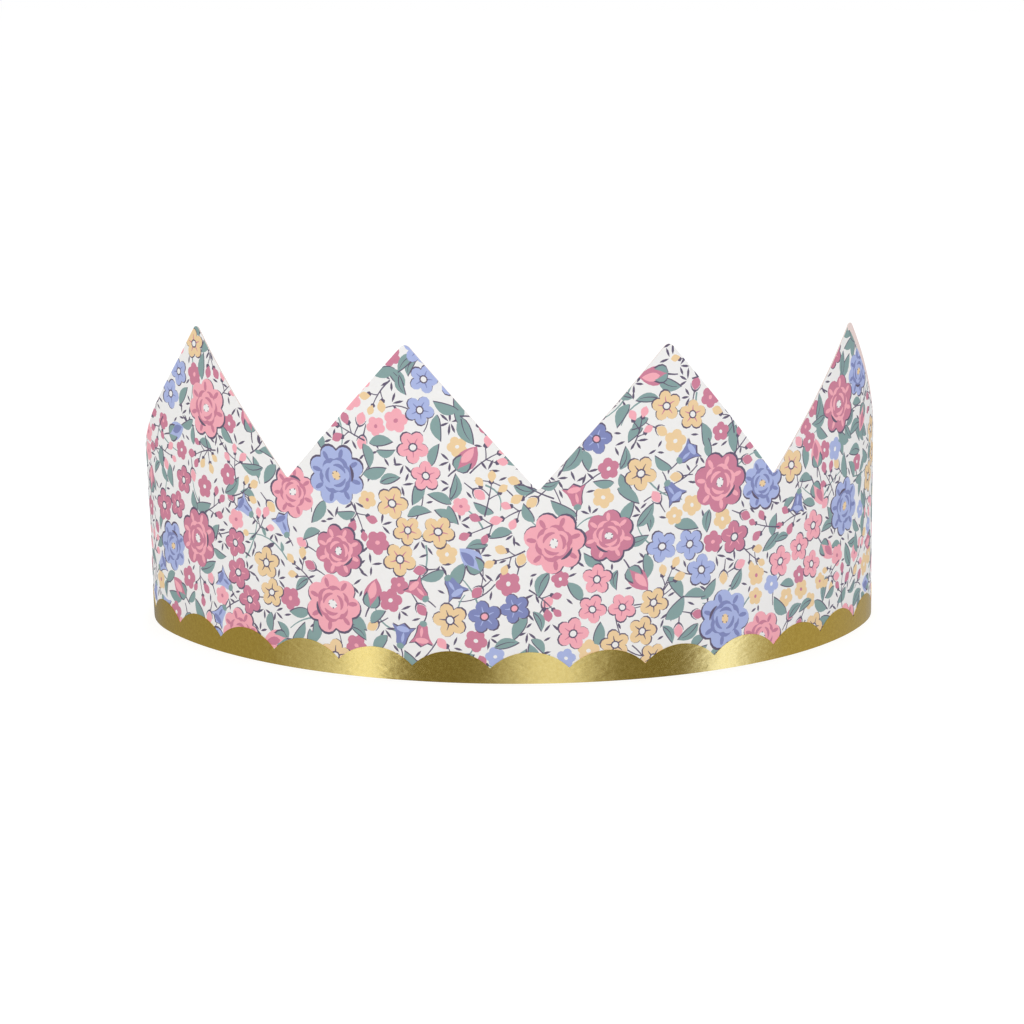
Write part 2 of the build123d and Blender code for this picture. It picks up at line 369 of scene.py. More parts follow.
def blade(length, width, bend=0.0, fullest=0.45, steps=4):
    """A leaf shape from 0 to its length along x, pointed at both ends, bent to one side."""
    shares = [n / steps for n in range(1, steps)]
    swell = [math.sin(math.pi * t ** (math.log(0.5) / math.log(fullest))) ** 0.8 for t in shares]
    arch = [4 * bend * t * (1 - t) for t in shares]
    upper = [(length * t, a + width / 2 * w) for t, a, w in zip(shares, arch, swell)]
    lower = [(length * t, a - width / 2 * w) for t, a, w in zip(shares, arch, swell)]
    return [(0, 0)] + lower + [(length, 0)] + upper[::-1]


def stroke(start, middle, end, width, tip_width, steps=6):
    """A brush line along a curve from start to end, pulled towards middle."""
    left, right = [], []
    for number in range(steps + 1):
        t = number / steps
        x = (1 - t) ** 2 * start[0] + 2 * t * (1 - t) * middle[0] + t**2 * end[0]
        z = (1 - t) ** 2 * start[1] + 2 * t * (1 - t) * middle[1] + t**2 * end[1]
        dx = 2 * (1 - t) * (middle[0] - start[0]) + 2 * t * (end[0] - middle[0])
        dz = 2 * (1 - t) * (middle[1] - start[1]) + 2 * t * (end[1] - middle[1])
        half = (width + (tip_width - width) * t) / 2 / math.hypot(dx, dz)
        left.append((x - dz * half, z + dx * half))
        right.append((x + dz * half, z - dx * half))
    return left + right[::-1]


def swirl(radius, start, sweep, width, steps=6):
    """A petal's edge inside a rosette: a curved stroke that narrows to both ends."""
    outer, inner = [], []
    for number in range(steps + 1):
        t = number / steps
        half = width / 2 * math.sin(math.pi * (0.08 + 0.84 * t))
        angle = start + sweep * t
        outer.append(((radius + half) * math.cos(angle), (radius + half) * math.sin(angle)))
        inner.append(((radius - half) * math.cos(angle), (radius - half) * math.sin(angle)))
    return outer + inner[::-1]


def rosette(draw, main, deep, heart, radius=ROSETTE_RADIUS):
    """A full round flower: a ring of petals with swirled inner petals and a small heart."""
    petals = draw.choice((7, 8))
    shapes = [("plum", moved(lobed(radius + 0.3, petals, 0.2), 0.22, -0.26))]
    shapes.append((main, lobed(radius, petals, 0.2)))
    for number in range(petals):
        angle = 2 * math.pi * (number + 0.5) / petals
        shade = moved(oval(radius * 0.34, radius * 0.16, 8), radius * 0.73)
        shapes.append((deep, moved(shade, turn=angle + 0.16)))
    shapes.append((deep, lobed(radius * 0.62, 6, 0.14, 5, 0.4)))
    shapes.append((main, moved(lobed(radius * 0.52, 5, 0.18, 5, 0.9), 0.15, 0.2)))
    for number in range(3):
        shapes.append((deep, swirl(radius * 0.34, 2.1 * number, 1.6, radius * 0.13)))
    shapes.append(("plum", moved(swirl(radius * 0.6, 3.6, 0.9, radius * 0.1), 0.2, -0.1)))
    shapes.append((heart, oval(radius * 0.34, radius * 0.27, 9)))
    for number in range(4):
        dot = moved(oval(0.5, 0.35, 5), radius * 0.1 + 0.25)
        shapes.append(("plum", moved(dot, turn=1.7 * number + 0.3)))
    return shapes, [(0, 0, radius * 0.97)]


def blossom(draw, petal, vein, eye, radius):
    """Five separate round petals about a ringed eye, each with a line, over a dark shade."""
    turns = [2 * math.pi * n / 5 + draw.uniform(-0.08, 0.08) for n in range(5)]
    outline = moved(oval(radius * 0.86, radius * 0.8, 10), radius * 0.56)
    line = stroke((radius * 0.25, 0), (radius * 0.4, 0.1), (radius * 0.62, 0), 0.42, 0.12, 2)
    shapes = [("plum", moved(moved(outline, turn=t, size=1.06), 0.13, -0.17)) for t in turns]
    shapes += [(petal, moved(outline, turn=turn)) for turn in turns]
    shapes += [(vein, moved(line, turn=turn)) for turn in turns]
    shapes.append(("plum", oval(radius * 0.6, radius * 0.56, 10)))
    shapes.append((eye, oval(radius * 0.42, radius * 0.38, 9)))
    return shapes, [(0, 0, radius)]


def small_blossom(draw, petal, eye, radius):
    """A flat flower with five joined petals."""
    shapes = [(petal, lobed(radius, 5, 0.24, 5, draw.uniform(0, 1)))]
    shapes.append((eye, oval(radius * 0.42, radius * 0.36, 7)))
    return shapes, [(0, 0, radius * 0.93)]


def tulip(draw, outer, inner):
    """A closed flower between two green sepals, on a short stem."""
    bend = draw.uniform(-0.5, 0.5)
    shapes = [("plum", stroke((-3.9, 0.6), (-2.5, 0.6), (-0.5, 0), 0.32, 0.5, 3))]
    shapes.append((outer, moved(blade(7.4, 4.9, bend, 0.4, 6), -0.9)))
    shapes.append((inner, moved(blade(4.8, 2.2, bend * 0.6, 0.42, 5), 0.9, 0.35)))
    for side in (-1, 1):
        sepal = [(x, side * z) for x, z in blade(3.9, 1.5, 0.7, 0.4)]
        shade = moved(sepal, -1.4, side * 0.16, side * 0.36, 1.1)
        shapes.append(("plum", shade))
        shapes.append(("sage", moved(sepal, -1.3, 0, side * 0.34)))
    return shapes, [(0.3, 0, 2.3), (3.6, 0, 1.9), (-2.4, 0.3, 0.8)]


def bell(draw, outer, inner):
    """A hanging flower with a flared rim, on a short bent stem."""
    bend = draw.uniform(-1.2, 1.2)
    half = [(0, 0.5), (0.9, 1.2), (2.4, 1.4), (3.8, 1.9), (5.3, 3.0), (4.9, 1.5)]
    outline = [(x, -z) for x, z in half] + [(5.9, 0)] + half[::-1]
    shapes = [("plum", stroke((-3.0, bend), (-1.5, bend), (0, 0), 0.26, 0.4, 4))]
    shapes.append(("plum", moved(outline, 0.05, -0.24, 0, 1.05)))
    shapes.append((outer, outline))
    shapes.append((inner, moved(oval(1.5, 3.5, 9), 4.5)))
    shapes.append((inner, moved(blade(2.8, 0.8), 1.0, -0.3)))
    shapes.append(("sage", moved(oval(1.6, 2.0, 8), 0.2)))
    return shapes, [(1.0, 0, 1.5), (4.0, 0, 2.3)]


def bud(draw, petal):
    """A closed bud between two dark sepals, on a thin stem."""
    bend = draw.uniform(-0.6, 0.6)
    shapes = [("plum", stroke((-3.4, bend), (-1.6, bend), (0, 0), 0.24, 0.42, 3))]
    shapes.append((petal, moved(blade(3.5, 2.5, 0, 0.5, 5), -0.4)))
    for side in (-1, 1):
        sepal = stroke((-0.7, 0), (-0.1, side * 1.3), (1.3, side * 1.45), 0.5, 0.1, 3)
        shapes.append(("plum", sepal))
    return shapes, [(1.1, 0, 1.5), (-1.9, 0.3, 0.7)]


def tucked_leaf(draw):
    """A leaf with a dark line under one side, whose foot may lie under a flower."""
    length = draw.uniform(4.8, 7.6)
    bend = draw.choice((-1, 1)) * draw.uniform(0.3, 1.0)
    width = length * draw.uniform(0.36, 0.46)
    outline = blade(length, width, bend, 0.45, 6)
    shade = 0.24 if bend > 0 else -0.24
    shapes = [("plum", moved(outline, 0.05, -shade, 0, 1.03)), ("sage", outline)]
    if draw.random() < 0.35:
        middle, tip = (length * 0.5, bend * 1.7), (length * 0.84, bend * 0.35)
        shapes.append(("plum", stroke((0.5, 0), middle, tip, 0.3, 0.1, 4)))
    return shapes, [(length * share, bend * 0.8, width * 0.42) for share in (0.55, 0.8)]


def sprig(draw, ink):
    """A bent stem with small leaves on both sides and a berry or bud at its end."""
    length = draw.uniform(10, 15)
    lean = draw.choice((-1, 1)) * draw.uniform(1.2, 2.6)
    ends = (-length / 2, 0), (0, lean * 1.8), (length / 2, 0)
    shapes = [(draw.choice(("sage", "plum")), stroke(*ends, 0.42, 0.26, 6))]
    room = []
    for number in range(4):
        t = 0.14 + 0.22 * number
        x = -length / 2 + length * t
        z = 3.6 * lean * t * (1 - t)
        side = 1 if number % 2 else -1
        turn = side * draw.uniform(0.7, 1.0) + 0.3 * lean * (0.5 - t)
        side_leaf = blade(draw.uniform(2.6, 3.4), 1.15, 0.15 * side, 0.45, 4)
        shapes.append(("plum" if number == 1 else "sage", moved(side_leaf, x, z, turn)))
        room.append((x + 1.1 * math.cos(turn), z + 1.5 * math.sin(turn), 0.9))
    shapes.append((ink, moved(oval(2.1, 1.8, 8), length / 2 + 0.5)))
    room.append((length / 2 + 0.5, 0, 1.1))
    return shapes, room


def tick(draw):
    """One short dark stroke."""
    outline = moved(blade(draw.uniform(1.8, 2.5), 0.62, 0, 0.5, 3), -1.1)
    return [("plum", outline)], [(0, 0, 0.75)]


def grass(draw):
    """Two or three short blades that fan out from one spot."""
    turns = draw.choice(((-0.45, 0.3), (-0.55, 0, 0.5), (-0.5, 0.05, 0.6)))
    shapes = []
    for turn in turns:
        outline = blade(draw.uniform(2.2, 3.0), 0.66, 0, 0.55, 3)
        foot = 0.5 * math.cos(turn), 0.5 * math.sin(turn)
        shapes.append(("plum", moved(outline, *foot, 2 * turn)))
    return shapes, [(1.9, 0, 1.25)]


def twig(draw, petal):
    """A forked dark twig with a bud at each end."""
    length = draw.uniform(6.5, 9.0)
    lean = draw.uniform(-1.2, 1.2)
    shapes = [("plum", stroke((0, 0), (length * 0.5, lean), (length, 0), 0.42, 0.24, 5))]
    room = [(length * 0.5, lean * 0.5, 0.5)]
    forks = [(length, 0, draw.uniform(-0.3, 0.3))]
    for side in (-1, 1):
        t = draw.uniform(0.3, 0.7)
        x, z, turn = length * t, 2 * lean * t * (1 - t), side * draw.uniform(0.7, 1.0)
        reach = draw.uniform(1.6, 2.8)
        branch = stroke((0, 0), (reach * 0.6, 0), (reach, side * 0.3), 0.3, 0.24, 3)
        shapes.append(("plum", moved(branch, x, z, turn)))
        forks.append((x + reach * math.cos(turn), z + reach * math.sin(turn), turn))
    for x, z, turn in forks:
        swell = draw.uniform(0.8, 1.1)
        shapes.append(("plum", moved(blade(1.7 * swell, 1.5 * swell, 0, 0.4, 3), x - 0.2, z, turn)))
        shapes.append((petal, moved(blade(3.2 * swell, 2.2 * swell, 0, 0.55, 5), x + 0.4, z, turn)))
        room.append((x + 1.6 * math.cos(turn), z + 1.6 * math.sin(turn), 1.4))
    return shapes, room


def stem(draw):
    """A long thin bent stem that may run under the other motifs."""
    length = draw.uniform(7, 13)
    lean = draw.choice((-1, 1)) * draw.uniform(1.0, 3.4)
    ink, width = draw.choice((("sage", 0.5), ("plum", 0.34)))
    return [(ink, stroke((-length / 2, 0), (0, lean), (length / 2, 0), width, 0.24, 7))], []


class Print:
    """The all-over print: motifs tossed on the flat card, no two of them on one spot."""

    CELL = 8.0

    def __init__(self, seed):
        self.draw = random.Random(seed)
        self.taken = {}
        self.motifs = []

    def free(self, circles, gap):
        """Whether spots keep the gap from all that are taken. A gap below 0 lets them overlap."""
        for x, z, radius in circles:
            column, row = int(x // self.CELL), int(z // self.CELL)
            for near_column in range(column - 2, column + 3):
                for near_row in range(row - 2, row + 3):
                    for ox, oz, other in self.taken.get((near_column, near_row), ()):
                        if (x - ox) ** 2 + (z - oz) ** 2 < (radius + other + gap) ** 2:
                            return False
        return True

    def lay(self, motif, x, z, turn, gap):
        """Lays a motif and takes its spots, where they are free."""
        shapes, circles = motif
        spots = [(*moved([(cx, cz)], x, z, turn)[0], radius) for cx, cz, radius in circles]
        if not self.free(spots, gap):
            return False
        for spot in spots:
            cell = int(spot[0] // self.CELL), int(spot[1] // self.CELL)
            self.taken.setdefault(cell, []).append(spot)
        self.motifs.append([(ink, moved(outline, x, z, turn)) for ink, outline in shapes])
        return True

    def round_about(self, x, z, reach, makes, gap):
        """Lays motifs round a flower, turned away from it, with their feet under its edge."""
        turn = self.draw.uniform(0, 2 * math.pi)
        for make in makes:
            turn += self.draw.uniform(0.8, 1.2) * 2 * math.pi / len(makes)
            foot = (x + reach * math.cos(turn), z + reach * math.sin(turn))
            self.lay(make(self.draw), *foot, turn + self.draw.uniform(-0.4, 0.4), gap)

    def fields(self):
        """All shapes in the order of printing: what was laid first lies on top."""
        return [shape for motif in reversed(self.motifs) for shape in motif]

    def toss(self, make, count, tries, gap, company=0, apart=0.0):
        """Lays up to count motifs where there is room for them, each with like ones round it."""
        for _ in range(tries):
            x = self.draw.uniform(route_start, outer_end + 3)
            z = self.draw.uniform(-2, POINT_HEIGHT)
            turn = self.draw.uniform(0, 2 * math.pi)
            if z > skyline(x) + 2 or count == 0 or not self.lay(make(self.draw), x, z, turn, gap):
                continue
            count -= 1
            for _ in range(company):
                turn += self.draw.uniform(1.4, 2.4)
                near = x + apart * math.cos(turn), z + apart * math.sin(turn)
                self.lay(make(self.draw), *near, turn + self.draw.uniform(-0.5, 0.5), gap)


def skyline(along):
    """Height of the card's top edge, corners left sharp."""
    if abs(along) > panel_end:
        return STRAP_HEIGHT
    tips = [POINT_PITCH * (n - (POINT_COUNT - 1) / 2) for n in range(POINT_COUNT)]
    return POINT_HEIGHT - slope * min(abs(along - tip) for tip in tips)


def chance(column, row, salt):
    """A fixed number from 0 to 1 for each place in the repeat."""
    return (math.sin(12.9898 * column + 78.233 * row + 37.719 * salt) * 43758.5453) % 1


def liner_margin():
    """Where the card's pale back layer shows, on the right-hand point's outer slope."""
    top, foot = POINT_HEIGHT + 1, VALLEY_HEIGHT
    inner = [(outer_tip - 0.4, POINT_HEIGHT - 2.6), (outer_tip + 0.6, POINT_HEIGHT - 3.4)]
    inner.append((panel_end - 0.3, foot + 0.2))
    outer = [(panel_end + 1, foot - 0.6), (panel_end + 1, top)]
    outer += [(outer_tip - 1.5, top), (outer_tip - 1.5, top - 3.6)]
    return inner + outer


# What is tossed between the large flowers: inks, then how many groups
BLOSSOMS = (
    (("ochre", "plum", "ground"), 9), (("blue", "deep_blue", "ground"), 5),
    (("rose", "pink", "ground"), 6), (("pink", "rose", "ground"), 4),
    (("ochre", "rose", "ground"), 4), (("deep_blue", "blue", "pink"), 3),
)
BELLS = ((("deep_blue", "blue"), 6), (("blue", "deep_blue"), 6), (("rose", "pink"), 4))
TULIPS = ((("rose", "pink"), 14), (("pink", "rose"), 7), (("blue", "deep_blue"), 4))
SMALLS = (
    (("rose", "ground"), 26), (("pink", "rose"), 20), (("ochre", "ground"), 14),
    (("rose", "pink"), 16), (("ochre", "rose"), 8), (("blue", "ground"), 6),
)
LARGE = (("rose", "pink", "ground"), ("blue", "deep_blue", "ochre"), ("pink", "rose", "ground"))


def card_print():
    """Every shape of the card's print, and the pale margin over it."""
    pattern = Print(seed=11)
    draw = pattern.draw
    columns = int(half_round / PRINT_STEP_ALONG) + 1
    rows = int(POINT_HEIGHT / PRINT_STEP_UP) + 2

    def blossoms(draw, *inks):
        return blossom(draw, *inks, draw.uniform(3.6, 4.4))

    def ochre_blossoms(draw):
        return blossom(draw, "ochre", "plum", "ground", draw.uniform(3.6, 4.3))

    def small_blossoms(draw, *inks):
        return small_blossom(draw, *inks, draw.uniform(2.3, 3.2))

    def rose_small_blossoms(draw):
        return small_blossom(draw, "rose", "ground", draw.uniform(2.4, 3.1))

    def twigs(draw):
        return twig(draw, draw.choice(("rose", "rose", "pink", "ochre")))

    def sprigs(draw):
        return sprig(draw, draw.choice(("rose", "ochre", "pink")))

    def buds(draw):
        return bud(draw, draw.choice(("rose", "rose", "pink", "ochre")))

    def toss_groups(table, make, tries, gap, company, apart):
        """Tosses all groups of a table, with so many tries for each group."""
        for inks, groups in table:
            total = tries * groups
            pattern.toss(lambda draw: make(draw, *inks), groups, total, gap, company, apart)

    large = []
    for column in range(-columns, columns + 1):
        for row in range(rows):
            along = PRINT_STEP_ALONG * column + PRINT_WANDER * (2 * chance(column, row, 1) - 1)
            height = PRINT_STEP_UP * (row + 0.5 * (column % 2))
            height += PRINT_WANDER * (2 * chance(column, row, 2) - 1)
            if height > skyline(along) + ROSETTE_RADIUS:
                continue
            kind = (column + 2 * row) % 3
            turn = 2 * math.pi * chance(column, row, 3)
            pattern.lay(rosette(draw, *LARGE[kind]), along, height, turn, 0)
            large.append((along, height, kind))
    apart = COMPANION_APART * ROSETTE_RADIUS
    for along, height, kind in large:
        if draw.random() < COMPANION_SHARE:
            turn = draw.uniform(0, 2 * math.pi)
            near = along + apart * math.cos(turn), height + apart * math.sin(turn)
            other = rosette(draw, *LARGE[(kind + 1) % 3], COMPANION_SIZE * ROSETTE_RADIUS)
            pattern.lay(other, *near, turn, -1.2)
    around = (tucked_leaf, ochre_blossoms, tucked_leaf, twigs, tucked_leaf, rose_small_blossoms)
    for along, height, _ in large:
        pattern.round_about(along, height, ROSETTE_RADIUS * 0.95, around, -1.4)
    toss_groups(BLOSSOMS, blossoms, 80, -0.5, 3, 7.6)
    toss_groups(TULIPS, tulip, 80, -0.2, 1, 6.5)
    toss_groups(BELLS, bell, 80, -0.2, 2, 6.0)
    pattern.toss(tucked_leaf, 90, 1500, -0.3, 1, 1.5)
    pattern.toss(twigs, 120, 2500, -0.2)
    toss_groups(SMALLS, small_blossoms, 60, -0.9, 2, 5.4)
    pattern.toss(sprigs, 90, 2500, -0.2)
    pattern.toss(tucked_leaf, 150, 4000, -0.4)
    pattern.toss(buds, 320, 6000, -0.2)
    pattern.toss(grass, 380, 6000, -0.1)
    pattern.toss(tick, 450, 9000, 0.1)
    pattern.toss(stem, 130, 300, 0)
    return pattern.fields() + [("liner", liner_margin())]


# Sheets

def counter_clockwise(outline):
    """The outline in the direction that partition() needs."""
    pairs = zip(outline, outline[1:] + outline[:1])
    return outline if sum(x * w - u * z for (x, z), (u, w) in pairs) > 0 else outline[::-1]


def partition(outlines, lines):
    """Cuts overlapping outlines into triangles.

    Gives the points, the triangles, and for each of both the numbers of what it comes from.
    """
    points, edges, faces = [], [], []
    for outline in outlines:
        faces.append(list(range(len(points), len(points) + len(outline))))
        points += [Vector(point) for point in outline]
    for at, low, high in lines:
        edges.append((len(points), len(points) + 1))
        points += [Vector((at, low)), Vector((at, high))]
    found = delaunay_2d_cdt(points, edges, faces, INSIDE_ONLY, MERGE_DISTANCE, True)
    return found[0], found[2], found[3], found[5]


def loops_of(triangles):
    """The closed runs of edges round a set of triangles."""
    edges = set()
    for a, b, c in triangles:
        edges.update(((a, b), (b, c), (c, a)))
    following = {a: b for a, b in edges if (b, a) not in edges}
    loops = []
    while following:
        start, here = following.popitem()
        loop = [start]
        while here != start:
            loop.append(here)
            here = following.pop(here)
        loops.append(loop)
    return loops


def flat_sheet(name, outline, holes, fields, front, back):
    """A closed flat sheet, front at y = -front and back at y = -back, each face with an ink."""
    top = max(z for _, z in outline) + 1
    lines = [(at, -1.0, top) for at in folds]
    outlines = [outline] + holes + [points for _, points in fields]
    outlines = [counter_clockwise(points) for points in outlines]
    points, triangles, _, sources = partition(outlines, lines)

    # The front: what lies in the outline and in no hole, in the ink that was printed last
    first_field = 1 + len(holes)
    kept, inks = [], []
    for triangle, source in zip(triangles, sources):
        if 0 in source and not any(0 < number < first_field for number in source):
            kept.append(triangle)
            over = max(source)
            inks.append(fields[over - first_field][0] if over >= first_field else "ground")

    # The back: the front's rims alone, the longest first, with holes turned counter-clockwise
    rims = sorted(loops_of(kept), key=len, reverse=True)
    turned = [rims[0]] + [rim[::-1] for rim in rims[1:]]
    rim_points = [[points[index] for index in rim] for rim in turned]
    back_points, back_triangles, origins, back_sources = partition(rim_points, lines)
    flat_rim = [index for rim in turned for index in rim]
    vertices = [(p.x, -front, p.y) for p in points]
    faces = [tuple(triangle) for triangle in kept]
    to_back = {}
    on_rim = {}
    for number, (point, origin) in enumerate(zip(back_points, origins)):
        to_back[number] = len(vertices)
        vertices.append((point.x, -back, point.y))
        for source in origin:
            if source < len(flat_rim):
                on_rim[flat_rim[source]] = to_back[number]
    for triangle, source in zip(back_triangles, back_sources):
        if 0 in source and not any(0 < number < len(rims) for number in source):
            faces.append(tuple(to_back[index] for index in reversed(triangle)))
            inks.append("inside")

    # The cut edge between them
    for rim in rims:
        for a, b in zip(rim, rim[1:] + rim[:1]):
            faces.append((b, a, on_rim[a], on_rim[b]))
            inks.append("cut")

    vertices = np.array(vertices) * MM
    used = sorted({index for face in faces for index in face})
    renumber = {old: new for new, old in enumerate(used)}
    mesh = bpy.data.meshes.new(name)
    mesh.from_pydata(vertices[used].tolist(), [], [[renumber[i] for i in face] for face in faces])
    mesh.validate()
    return mesh, inks



def paint(mesh, inks):
    """Stores each face's ink as the colour of its corners."""
    colours = mesh.attributes.new("ink", "FLOAT_COLOR", "CORNER")
    tones = {name: (*linear(rgb), 1.0) for name, rgb in INKS.items()}
    values = np.array([tones[ink] for ink in inks], dtype=np.float32)
    counts = [len(polygon.vertices) for polygon in mesh.polygons]
    colours.data.foreach_set("color", np.repeat(values, counts, axis=0).ravel())


# Node trees

class Shade:
    """One socket of a node tree, so that sums on its values read as sums."""

    def __init__(self, tree, socket):
        self.tree = tree
        self.socket = socket

    def beside(self, name):
        """Another output of the same node."""
        return Shade(self.tree, self.socket.node.outputs[name])

    def math(self, operation, first, second):
        return self.tree.add("ShaderNodeMath", {"operation": operation}, _0=first, _1=second)

    def __add__(self, other):
        return self.math("ADD", self, other)

    def __mul__(self, other):
        return self.math("MULTIPLY", self, other)

    def __sub__(self, other):
        return self.math("SUBTRACT", self, other)

    def __rsub__(self, other):
        return self.math("SUBTRACT", other, self)

    __radd__ = __add__
    __rmul__ = __mul__


class Tree:
    """A node tree with one way to add any node."""

    def __init__(self, tree):
        self.tree = tree

    def add(self, kind, settings=None, output=0, **sockets):
        """A new node's output. A socket goes by its name, or by its number, as _1."""
        node = self.tree.nodes.new(kind)
        for key, value in (settings or {}).items():
            setattr(node, key, value)
        for key, value in sockets.items():
            entry = node.inputs[int(key[1:]) if key[0] == "_" else key.replace("_", " ")]
            if isinstance(value, Shade):
                self.tree.links.new(value.socket, entry)
            else:
                entry.default_value = value
        return Shade(self, node.outputs[output])

    def end(self, kind, entry, value):
        """Leads a value into the node in which the tree ends."""
        self.tree.links.new(value.socket, self.tree.nodes.new(kind).inputs[entry])


# Rolling a flat sheet up to the oval

def roll_tree():
    """Bends a flat sheet along a path: x is the length along it, -y is out, z stays up."""
    group = bpy.data.node_groups.new("roll_to_oval", "GeometryNodeTree")
    inputs = {
        "Geometry": "Geometry", "Path": "Object", "Path start": "Float", "Material": "Material",
    }
    for name, kind in inputs.items():
        group.interface.new_socket(name, in_out="INPUT", socket_type="NodeSocket" + kind)
    group.interface.new_socket("Geometry", in_out="OUTPUT", socket_type="NodeSocketGeometry")
    t = Tree(group)

    def vector(operation, *parts, **sockets):
        sockets.update({f"_{number}": part for number, part in enumerate(parts)})
        return t.add("ShaderNodeVectorMath", {"operation": operation}, **sockets)

    sheet = t.add("NodeGroupInput", output="Geometry")
    along = t.add("ShaderNodeSeparateXYZ", Vector=t.add("GeometryNodeInputPosition"))
    height = along.beside("Z")
    path = t.add("GeometryNodeObjectInfo", output="Geometry", Object=sheet.beside("Path"))
    middle = t.add(
        "GeometryNodeSampleCurve", {"mode": "LENGTH", "use_all_curves": True}, "Position",
        Curves=path, Length=along - sheet.beside("Path start"),
    )
    outward = vector("NORMALIZE", vector("CROSS_PRODUCT", middle.beside("Tangent"), (0, 0, 1)))
    out = along.beside("Y") * -1.0
    for end, lean in ((-panel_end, LEAN_LEFT), (panel_end, LEAN_RIGHT)):
        distance = t.add("ShaderNodeMath", {"operation": "ABSOLUTE"}, _0=along - end * MM)
        fade = t.add(
            "ShaderNodeMapRange", {"interpolation_type": "SMOOTHSTEP"},
            Value=distance, From_Max=LEAN_REACH * MM, To_Min=lean, To_Max=0.0,
        )
        out = fade * height + out
    foot = vector("ADD", middle, vector("SCALE", outward, Scale=out))
    place = vector("ADD", foot, t.add("ShaderNodeCombineXYZ", Z=height))
    bent = t.add("GeometryNodeSetPosition", Geometry=sheet, Position=place)
    whole = t.add("GeometryNodeRealizeInstances", Geometry=bent)
    clad = t.add("GeometryNodeSetMaterial", Geometry=whole, Material=sheet.beside("Material"))
    t.end("NodeGroupOutput", 0, clad)
    return group


def path_object():
    """The card's middle as a curve, for the rolling only."""
    curve = bpy.data.curves.new("card_path", "CURVE")
    curve.dimensions = "3D"
    spline = curve.splines.new("POLY")
    spline.points.add(len(route) - 1)
    for point, (x, y) in zip(spline.points, route):
        point.co = (x * MM, y * MM, 0, 1)
    holder = bpy.data.objects.new("card_path", curve)
    bpy.context.scene.collection.objects.link(holder)
    return holder


def roll_up(name, mesh, tree, path, material):
    """The rolled sheet as a plain mesh object."""
    piece = bpy.data.objects.new(name, mesh)
    bpy.context.scene.collection.objects.link(piece)
    modifier = piece.modifiers.new("roll", "NODES")
    modifier.node_group = tree
    inputs = [item for item in tree.interface.items_tree if item.in_out == "INPUT"]
    sockets = {item.name: item.identifier for item in inputs}
    modifier[sockets["Path"]] = path
    modifier[sockets["Path start"]] = route_start * MM
    modifier[sockets["Material"]] = material
    bpy.context.view_layer.update()
    evaluated = piece.evaluated_get(bpy.context.evaluated_depsgraph_get())
    rolled = bpy.data.meshes.new_from_object(evaluated)
    piece.modifiers.clear()
    piece.data = rolled
    rolled.name = name
    rolled.polygons.foreach_set("use_smooth", [True] * len(rolled.polygons))
    rolled.set_sharp_from_angle(angle=rad(SHARP_ANGLE))
    rolled.materials.clear()
    rolled.materials.append(material)
    return piece


# Materials

class Paint(Tree):
    """The tree of a material, or of the world."""

    def __init__(self, name, world=False):
        self.material = (bpy.data.worlds if world else bpy.data.materials).new(name)
        self.material.use_nodes = True
        self.material.node_tree.nodes.clear()
        super().__init__(self.material.node_tree)
        self.output = "ShaderNodeOutputWorld" if world else "ShaderNodeOutputMaterial"

    def mix(self, share, first, second, blend="MIX"):
        """Two colours, mixed by a share from 0 to 1."""
        settings = {"data_type": "RGBA", "blend_type": blend}
        return self.add("ShaderNodeMix", settings, output=2, _0=share, _6=first, _7=second)

    def finish(self, shader):
        self.end(self.output, "Surface", shader)
        return self.material


def card_material():
    """Smooth uncoated card, printed in flat ink with a little tooth."""
    p = Paint("printed_card")
    place = p.add("ShaderNodeTexCoord", output="Object")
    ink = p.add("ShaderNodeAttribute", {"attribute_name": "ink"})
    tooth = p.add("ShaderNodeTexNoise", Vector=place, Scale=2600.0, Detail=3.0, Roughness=0.6)
    cloud = p.add("ShaderNodeTexNoise", Vector=place, Scale=900.0, Detail=2.0)
    bump = p.add("ShaderNodeBump", Strength=0.12, Distance=0.00006, Height=tooth)
    return p.finish(p.add(
        "ShaderNodeBsdfPrincipled", Base_Color=p.mix(0.22 * cloud, ink, CARD_WEAR, "MULTIPLY"),
        Roughness=0.62 + 0.12 * cloud, Specular_IOR_Level=0.35, Normal=bump,
    ))


def foil_material():
    """Satin gold foil with a fine crinkle and the tooth of the paper beneath it."""
    p = Paint("gold_foil")
    place = p.add("ShaderNodeTexCoord", output="Object")
    grain = p.add("ShaderNodeTexNoise", Vector=place, Scale=1300.0, Detail=4.0, Roughness=0.7)
    stretched = p.add("ShaderNodeMapping", Vector=place, Scale=(0.5, 0.5, 1.3))
    crinkle = p.add("ShaderNodeTexNoise", Vector=stretched, Scale=380.0, Detail=2.5, Distortion=0.6)
    relief = 0.2 * grain + 2.1 * crinkle
    bump = p.add("ShaderNodeBump", Strength=0.42, Distance=0.0001, Height=relief)
    return p.finish(p.add(
        "ShaderNodeBsdfPrincipled", Base_Color=p.mix(grain * 2.4 - 0.7, GOLD_DEEP, GOLD_BRIGHT),
        Metallic=1.0, Roughness=0.13 + 0.16 * grain, Normal=bump,
    ))


# The crown

half_card = CARD_THICKNESS / 2
card_sheet, card_inks = flat_sheet(
    "crown_card", card_outline(), slot_outlines(), card_print(), half_card, -half_card
)
paint(card_sheet, card_inks)
foil_sheet, _ = flat_sheet(
    "crown_foil", foil_outline(), slot_outlines(), [], half_card + FOIL_THICKNESS, half_card
)
oval_path = path_object()
roll = roll_tree()
card = roll_up("crown_card", card_sheet, roll, oval_path, card_material())
foil = roll_up("crown_foil", foil_sheet, roll, oval_path, foil_material())
bpy.data.objects.remove(oval_path)

prints = [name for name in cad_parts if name.startswith("print_")]
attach(card, "root")
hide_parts("card_band", *prints)
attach(foil, "root")
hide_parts("foil_border")


# Studio

